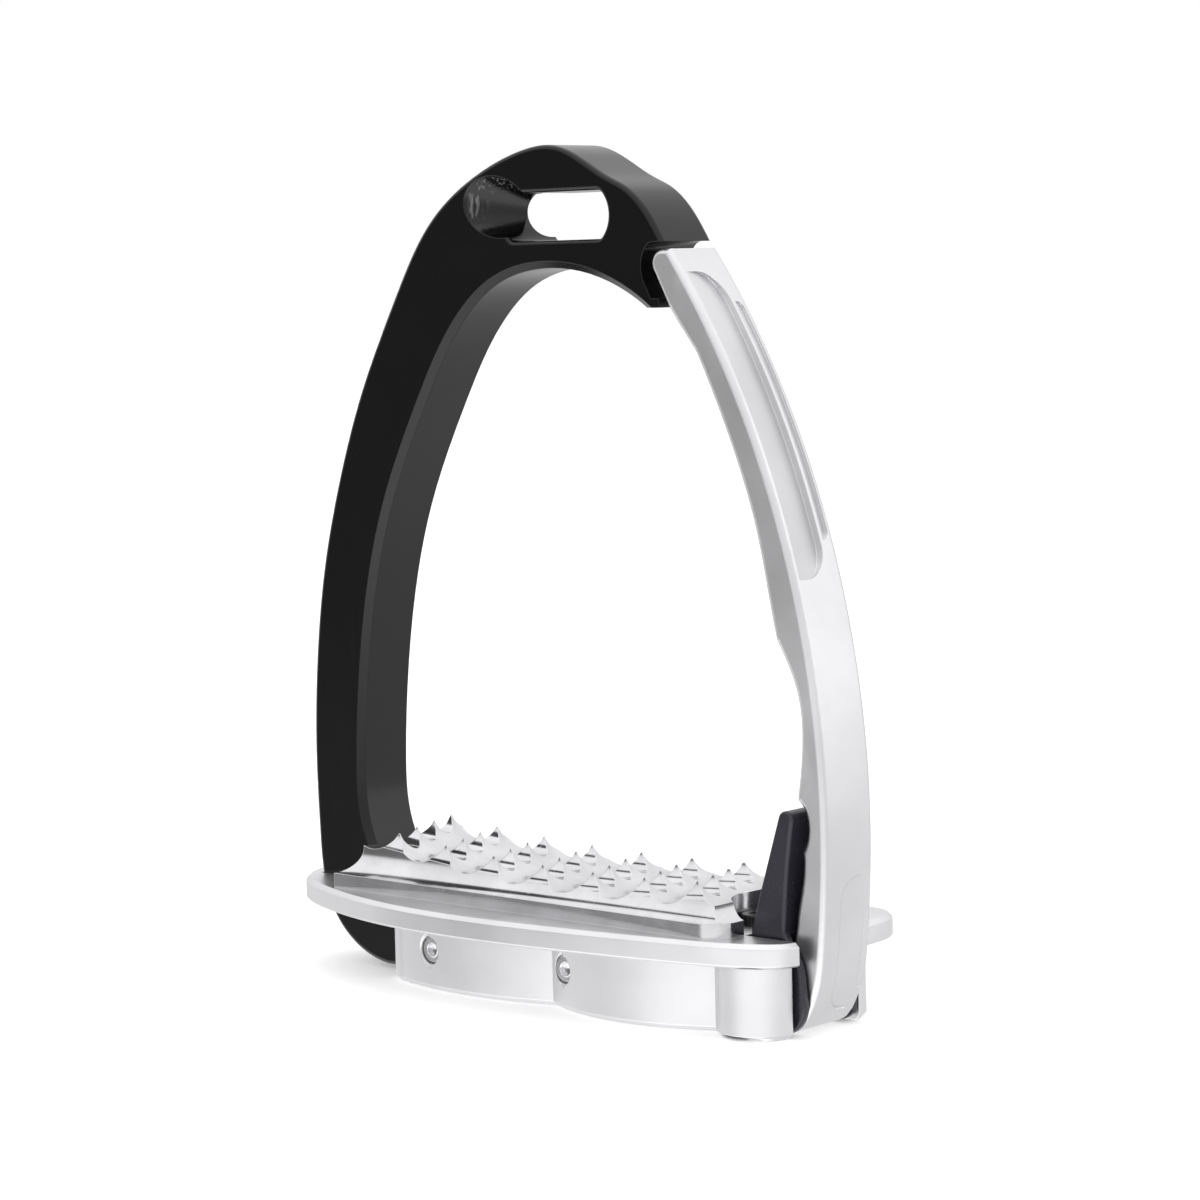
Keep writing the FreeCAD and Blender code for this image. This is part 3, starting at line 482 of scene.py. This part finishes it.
def lathe_screw(work, place, axis, head, head_height, shank, length, socket, ribs=0):
    """Spins the profile of a socket screw round its axis; place lies on the head's outer face."""
    part = bmesh.new()
    profile = [(socket, -0.12 * MM), (socket + 0.14 * MM, 0.0), (head - CHAMFER, 0.0), (head, CHAMFER),
               (head, head_height - 0.06 * MM), (head - 0.06 * MM, head_height), (shank, head_height),
               (shank, length - CHAMFER), (shank - CHAMFER, length)]
    points = [part.verts.new((radius, 0, depth)) for radius, depth in profile]
    edges = [part.edges.new(pair) for pair in zip(points[:-1], points[1:])]
    bmesh.ops.spin(part, geom=points + edges, cent=(0, 0, 0), axis=(0, 0, 1), angle=math.tau,
                   steps=SPIN_STEPS, use_merge=True)
    bmesh.ops.remove_doubles(part, verts=part.verts, dist=MERGE)
    if ribs:
        wall = [v for v in part.verts if math.hypot(v.co.x, v.co.y) > head - 0.01 * MM]
        inward = [v for v in wall if round(math.atan2(v.co.y, v.co.x) / math.tau * SPIN_STEPS) % 2]
        bmesh.ops.scale(part, verts=inward, vec=(0.95, 0.95, 1))
    # the shank's end is closed flat
    rims = [e for e in part.edges if e.is_boundary]
    end = [e for e in rims if e.verts[0].co.z > head_height]
    bmesh.ops.holes_fill(part, edges=end, sides=0)
    # the socket: the mouth is drawn in to six sides, then down, and closed with a drilled cone
    mouth = [e for e in rims if e.verts[0].co.z < head_height]
    pulled = bmesh.ops.extrude_edge_only(part, edges=mouth)["geom"]
    for v in (g for g in pulled if isinstance(g, bmesh.types.BMVert)):
        angle = math.atan2(v.co.y, v.co.x)
        sector = (angle % (math.pi / 3)) - math.pi / 6
        reach = socket * math.cos(math.pi / 6) / math.cos(sector)
        v.co.x, v.co.y = reach * math.cos(angle), reach * math.sin(angle)
        v.co.z = 0.0
    floor_edges = [g for g in pulled if isinstance(g, bmesh.types.BMEdge) and g.is_boundary]
    deep = bmesh.ops.extrude_edge_only(part, edges=floor_edges)["geom"]
    bottom = [g for g in deep if isinstance(g, bmesh.types.BMVert)]
    bmesh.ops.translate(part, verts=bottom, vec=(0, 0, head_height * 0.8))
    bottom_edges = [g for g in deep if isinstance(g, bmesh.types.BMEdge) and g.is_boundary]
    cone = bmesh.ops.extrude_edge_only(part, edges=bottom_edges)["geom"]
    tip = [g for g in cone if isinstance(g, bmesh.types.BMVert)]
    bmesh.ops.scale(part, verts=tip, vec=(0.05, 0.05, 1))
    bmesh.ops.translate(part, verts=tip, vec=(0, 0, 0.15 * MM))
    bmesh.ops.holes_fill(part, edges=[e for e in part.edges if e.is_boundary], sides=0)
    turn = Vector((0, 0, 1)).rotation_difference(axis).to_matrix().to_4x4()
    bmesh.ops.transform(part, matrix=Matrix.Translation(place) @ turn, verts=part.verts)
    finished = bpy.data.meshes.new("screw")
    part.to_mesh(finished)
    part.free()
    work.from_mesh(finished)
    bpy.data.meshes.remove(finished)


# ---- operators ----------------------------------------------------------------------------------
class STIRRUP_OT_arch(bpy.types.Operator):
    """Finish the arch in black anodise"""

    bl_idname = "stirrup.arch"
    bl_label = "Black arch"

    def execute(self, context):
        paint(["frame_arch"], black_anodise())
        return {"FINISHED"}


class STIRRUP_OT_arm(bpy.types.Operator):
    """Finish the release arm in satin silver"""

    bl_idname = "stirrup.arm"
    bl_label = "Release arm"

    def execute(self, context):
        paint(["release_arm"], satin_silver("arm_satin", 0.97, 0.36, handling=0.8))
        paint(["arm_bush_front", "arm_bush_rear"], moulded("bush_polymer", (0.05, 0.045, 0.04), 0.55, 0.0004))
        return {"FINISHED"}


class STIRRUP_OT_tread(bpy.types.Operator):
    """Finish the footbed platform and the spiked insert"""

    bl_idname = "stirrup.tread"
    bl_label = "Tread"

    def execute(self, context):
        paint(["footbed_platform"], satin_silver("platform_satin", 1.0, 0.36))
        paint(["grip_insert"], bright_milled())
        return {"FINISHED"}


class STIRRUP_OT_base(bpy.types.Operator):
    """Finish the base and the plate under it"""

    bl_idname = "stirrup.base"
    bl_label = "Base"

    def execute(self, context):
        paint(["base_housing"], satin_silver("housing_satin", 1.04, 0.46))
        paint(["base_cover"], satin_silver("cover_satin", 0.8, 0.42, stretch=(0.08, 1, 1)))
        return {"FINISHED"}


class STIRRUP_OT_lever(bpy.types.Operator):
    """Finish the release lever in satin black"""

    bl_idname = "stirrup.lever"
    bl_label = "Release lever"

    def execute(self, context):
        paint(["release_lever"], lever_coat())
        return {"FINISHED"}


class STIRRUP_OT_side_screws(bpy.types.Operator):
    """Make the two socket screws that show in the front of the base"""

    bl_idname = "stirrup.side_screws"
    bl_label = "Side screws"

    def execute(self, context):
        metal = turned_steel("screw_steel", finishes().bright, side_screw_centres(), "xz", 0.16)
        to_piece("side_screw_set", side_screw_piece(), metal, "frame", "screw_steel", "side_screws")
        return {"FINISHED"}


class STIRRUP_OT_tread_screw(bpy.types.Operator):
    """Make the knurled black cap screw behind the lever's notch"""

    bl_idname = "stirrup.tread_screw"
    bl_label = "Tread screw"

    def execute(self, context):
        low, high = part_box("tread_screw")
        work = bmesh.new()
        place = Vector((0.5 * (low.x + high.x), 0.5 * (low.y + high.y), high.z))
        lathe_screw(work, place, Vector((0, 0, -1)), sizes().tread_head, 2.2 * MM, SCREW_SHANK,
                    high.z - low.z, sizes().socket, sizes().ribs)
        to_piece("tread_cap_screw", work, black_oxide(), "frame", "black_screw", "tread_screw")
        return {"FINISHED"}


class STIRRUP_OT_stop_pad(bpy.types.Operator):
    """Make the ribbed rubber pad that the lever rests against"""

    bl_idname = "stirrup.stop_pad"
    bl_label = "Stop pad"

    def execute(self, context):
        low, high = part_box("lever_stop_pad")
        work = bmesh.new()
        bmesh.ops.create_cube(work, size=1)
        span = high - low
        bmesh.ops.scale(work, verts=work.verts, vec=span)
        bmesh.ops.translate(work, verts=work.verts, vec=(low + high) / 2)
        long_edges = [e for e in work.edges if abs(e.verts[0].co.y - e.verts[1].co.y) > span.y * 0.9]
        bmesh.ops.subdivide_edges(work, edges=long_edges, cuts=13, use_grid_fill=True)
        front = [f for f in work.faces if f.normal.x > 0.9]
        front.sort(key=lambda f: f.calc_center_median().y)
        grooves = front[1::2]
        bmesh.ops.inset_individual(work, faces=grooves, thickness=0.12 * MM, depth=-0.15 * MM)
        rim_bevel(work, [e for e in work.edges if e.calc_face_angle(0) > 1.2], 0.05 * MM, 1)
        to_piece("lever_pad_ribbed", work, moulded("pad_rubber", (0.012, 0.012, 0.012), 0.7, 0.0003), "frame",
                 "pad_rubber", "lever_stop_pad")
        return {"FINISHED"}


class STIRRUP_OT_fixings(bpy.types.Operator):
    """Finish the screws and pins that hold the base together"""

    bl_idname = "stirrup.fixings"
    bl_label = "Screws and pins"

    def execute(self, context):
        steel = finishes().bright
        corners = corners_within("housing_screws", SCREW_HEAD)
        paint(["housing_screws"], turned_steel("base_screw_steel", steel, corners, "xy", 0.22))
        corners = corners_within("cover_screws", COVER_HEAD)
        paint(["cover_screws"], turned_steel("cover_screw_steel", steel, corners, "xy", 0.22))
        low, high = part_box("grip_screws")
        row = [(x, 0.0) for x in (low.x + GRIP_HEAD, 0.5 * (low.x + high.x), high.x - GRIP_HEAD)]
        paint(["grip_screws"], turned_steel("grip_screw_steel", steel, row, "xy", 0.24))
        low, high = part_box("hinge_pin")
        axis = [(0.5 * (low.x + high.x), 0.5 * (low.z + high.z))]
        paint(["hinge_pin"], turned_steel("hinge_pin_steel", steel, axis, "xz", 0.2))
        paint(["locating_pins"], ground_steel("pin_steel", (0.6, 0.6, 0.62), stretch=(1, 1, 0.08)))
        return {"FINISHED"}


class STIRRUP_OT_springs(bpy.types.Operator):
    """Finish the springs and the detent plunger"""

    bl_idname = "stirrup.springs"
    bl_label = "Springs and detent"

    def execute(self, context):
        wire = ground_steel("spring_wire", (0.42, 0.42, 0.45), 0.3, (0.3, 1, 0.3))
        paint(["lever_spring", "arm_spring"], wire)
        paint(["detent_spring"], ground_steel("detent_wire", (0.5, 0.5, 0.52), 0.28, (1, 0.3, 0.3)))
        paint(["detent_plunger"], ground_steel("plunger_steel", (0.6, 0.6, 0.62), 0.22, (0.08, 1, 1)))
        return {"FINISHED"}


class STIRRUP_OT_stage(bpy.types.Operator):
    """Set up the pale floor, the soft light and the camera"""

    bl_idname = "stirrup.stage"
    bl_label = "Stage"

    def execute(self, context):
        stage = context.scene.stirrup_stage
        self.floor(stage.floor_size)
        self.light(context, stage.light)
        self.camera(context, stage)
        return {"FINISHED"}

    def floor(self, reach):
        work = bmesh.new()
        bmesh.ops.create_grid(work, x_segments=2, y_segments=2, size=reach)
        bmesh.ops.translate(work, verts=work.verts, vec=(0, 0, CAD_BOX[0][2]))
        mesh = bpy.data.meshes.new("floor")
        work.to_mesh(mesh)
        work.free()
        finish = Finish("pale_floor")
        clouds = finish.noise(0.6, 3.0)
        colour = finish.mix(clouds, (0.9, 0.9, 0.9, 1), (0.94, 0.94, 0.94, 1))
        mesh.materials.append(finish.metal(Base_Color=colour, Roughness=0.7, Specular_IOR_Level=0.2,
                                           Emission_Color=(1, 1, 1, 1), Emission_Strength=0.28))
        floor = bpy.data.objects.new("floor", mesh)
        bpy.context.scene.collection.objects.link(floor)
        # the flags, and not the floor, are what the polished faces mirror
        floor.visible_glossy = False

    def light(self, context, strength):
        world = bpy.data.worlds.new("studio")
        context.scene.world = world
        studio = Board(world)
        x, y, z = studio.parts(studio.add("ShaderNodeTexCoord").outputs["Generated"])
        # dark flags stand at the front left and the rear left; the rest is white, brighter overhead
        # and low in front
        front_flag = (x * -0.67 + y * -0.74).ramp(0.88, 0.975) * (1 - z.ramp(0.2, 0.45)) * z.ramp(-0.42, -0.2)
        rear_flag = (x * -0.67 + y * 0.74).ramp(0.84, 0.97) * (1 - abs(z).ramp(0.12, 0.4))
        low_front = (1 - z.ramp(-0.5, -0.1)) * (y * -1.0).ramp(-0.1, 0.7)
        room = 0.9 + z.ramp(0.1, 0.8) * 0.25 + low_front * 1.1 - front_flag * 0.72 - rear_flag * 0.1
        seen = Signal(studio, studio.add("ShaderNodeLightPath").outputs["Is Camera Ray"])
        glow = room * (1 - seen) + seen
        backdrop = studio.add("ShaderNodeBackground", None, {"Color": (1, 1, 1, 1), "Strength": glow})
        studio.add("ShaderNodeOutputWorld", None, {"Surface": backdrop.outputs["Background"]})
        # name, place, aimed at, width, height, watts
        boxes = (
            ("top_box", (-0.1, 0.1, 1.3), (0, 0, 0.05), 1.2, 1.2, 1.6),
            ("rear_right_box", (1.1, 0.9, 0.5), (0.03, 0, 0.08), 0.7, 1.2, 1.6),
        )
        for name, place, aim, width, height, watts in boxes:
            lamp = bpy.data.lights.new(name, "AREA")
            lamp.shape = "RECTANGLE"
            lamp.size = width
            lamp.size_y = height
            lamp.energy = watts * strength
            box = bpy.data.objects.new(name, lamp)
            box.location = place
            box.rotation_euler = (Vector(aim) - Vector(place)).to_track_quat("-Z", "Y").to_euler()
            context.scene.collection.objects.link(box)

    def camera(self, context, stage):
        turn = Matrix.Rotation(stage.camera_turn, 4, "Z")
        pitch = Matrix.Rotation(math.pi / 2 - stage.camera_pitch, 4, "X")
        roll = Matrix.Rotation(stage.camera_roll, 4, "Z")
        lens = bpy.data.cameras.new("camera")
        lens.lens = stage.lens
        lens.sensor_width = 36.0
        lens.clip_start = 0.01
        camera = bpy.data.objects.new("camera", lens)
        camera.matrix_world = Matrix.Translation(stage.camera_place) @ turn @ pitch @ roll
        context.scene.collection.objects.link(camera)
        context.scene.camera = camera
        context.scene.view_settings.view_transform = "Standard"


STEPS = (
    STIRRUP_OT_arch,
    STIRRUP_OT_arm,
    STIRRUP_OT_tread,
    STIRRUP_OT_base,
    STIRRUP_OT_lever,
    STIRRUP_OT_side_screws,
    STIRRUP_OT_tread_screw,
    STIRRUP_OT_stop_pad,
    STIRRUP_OT_fixings,
    STIRRUP_OT_springs,
    STIRRUP_OT_stage,
)


class STIRRUP_PT_steps(bpy.types.Panel):
    """The stirrup's settings and the steps that finish it"""

    bl_idname = "STIRRUP_PT_steps"
    bl_label = "Safety stirrup"
    bl_space_type = "VIEW_3D"
    bl_region_type = "UI"
    bl_category = "Stirrup"

    def draw(self, context):
        column = self.layout.column()
        scene = context.scene
        for group in (scene.stirrup_finishes, scene.stirrup_sizes, scene.stirrup_stage):
            for name in group.bl_rna.properties.keys():
                if name not in ("rna_type", "name"):
                    column.prop(group, name)
        for step in STEPS:
            column.operator(step.bl_idname)


CLASSES = (StirrupFinishes, StirrupSizes, StirrupStage, *STEPS, STIRRUP_PT_steps)


def register():
    for item in CLASSES:
        bpy.utils.register_class(item)
    bpy.types.Scene.stirrup_finishes = bpy.props.PointerProperty(type=StirrupFinishes)
    bpy.types.Scene.stirrup_sizes = bpy.props.PointerProperty(type=StirrupSizes)
    bpy.types.Scene.stirrup_stage = bpy.props.PointerProperty(type=StirrupStage)


def unregister():
    del bpy.types.Scene.stirrup_stage
    del bpy.types.Scene.stirrup_sizes
    del bpy.types.Scene.stirrup_finishes
    for item in reversed(CLASSES):
        bpy.utils.unregister_class(item)


def main():
    register()
    for step in STEPS:
        group, name = step.bl_idname.split(".")
        getattr(getattr(bpy.ops, group), name)()


if __name__ == "__main__":
    main()
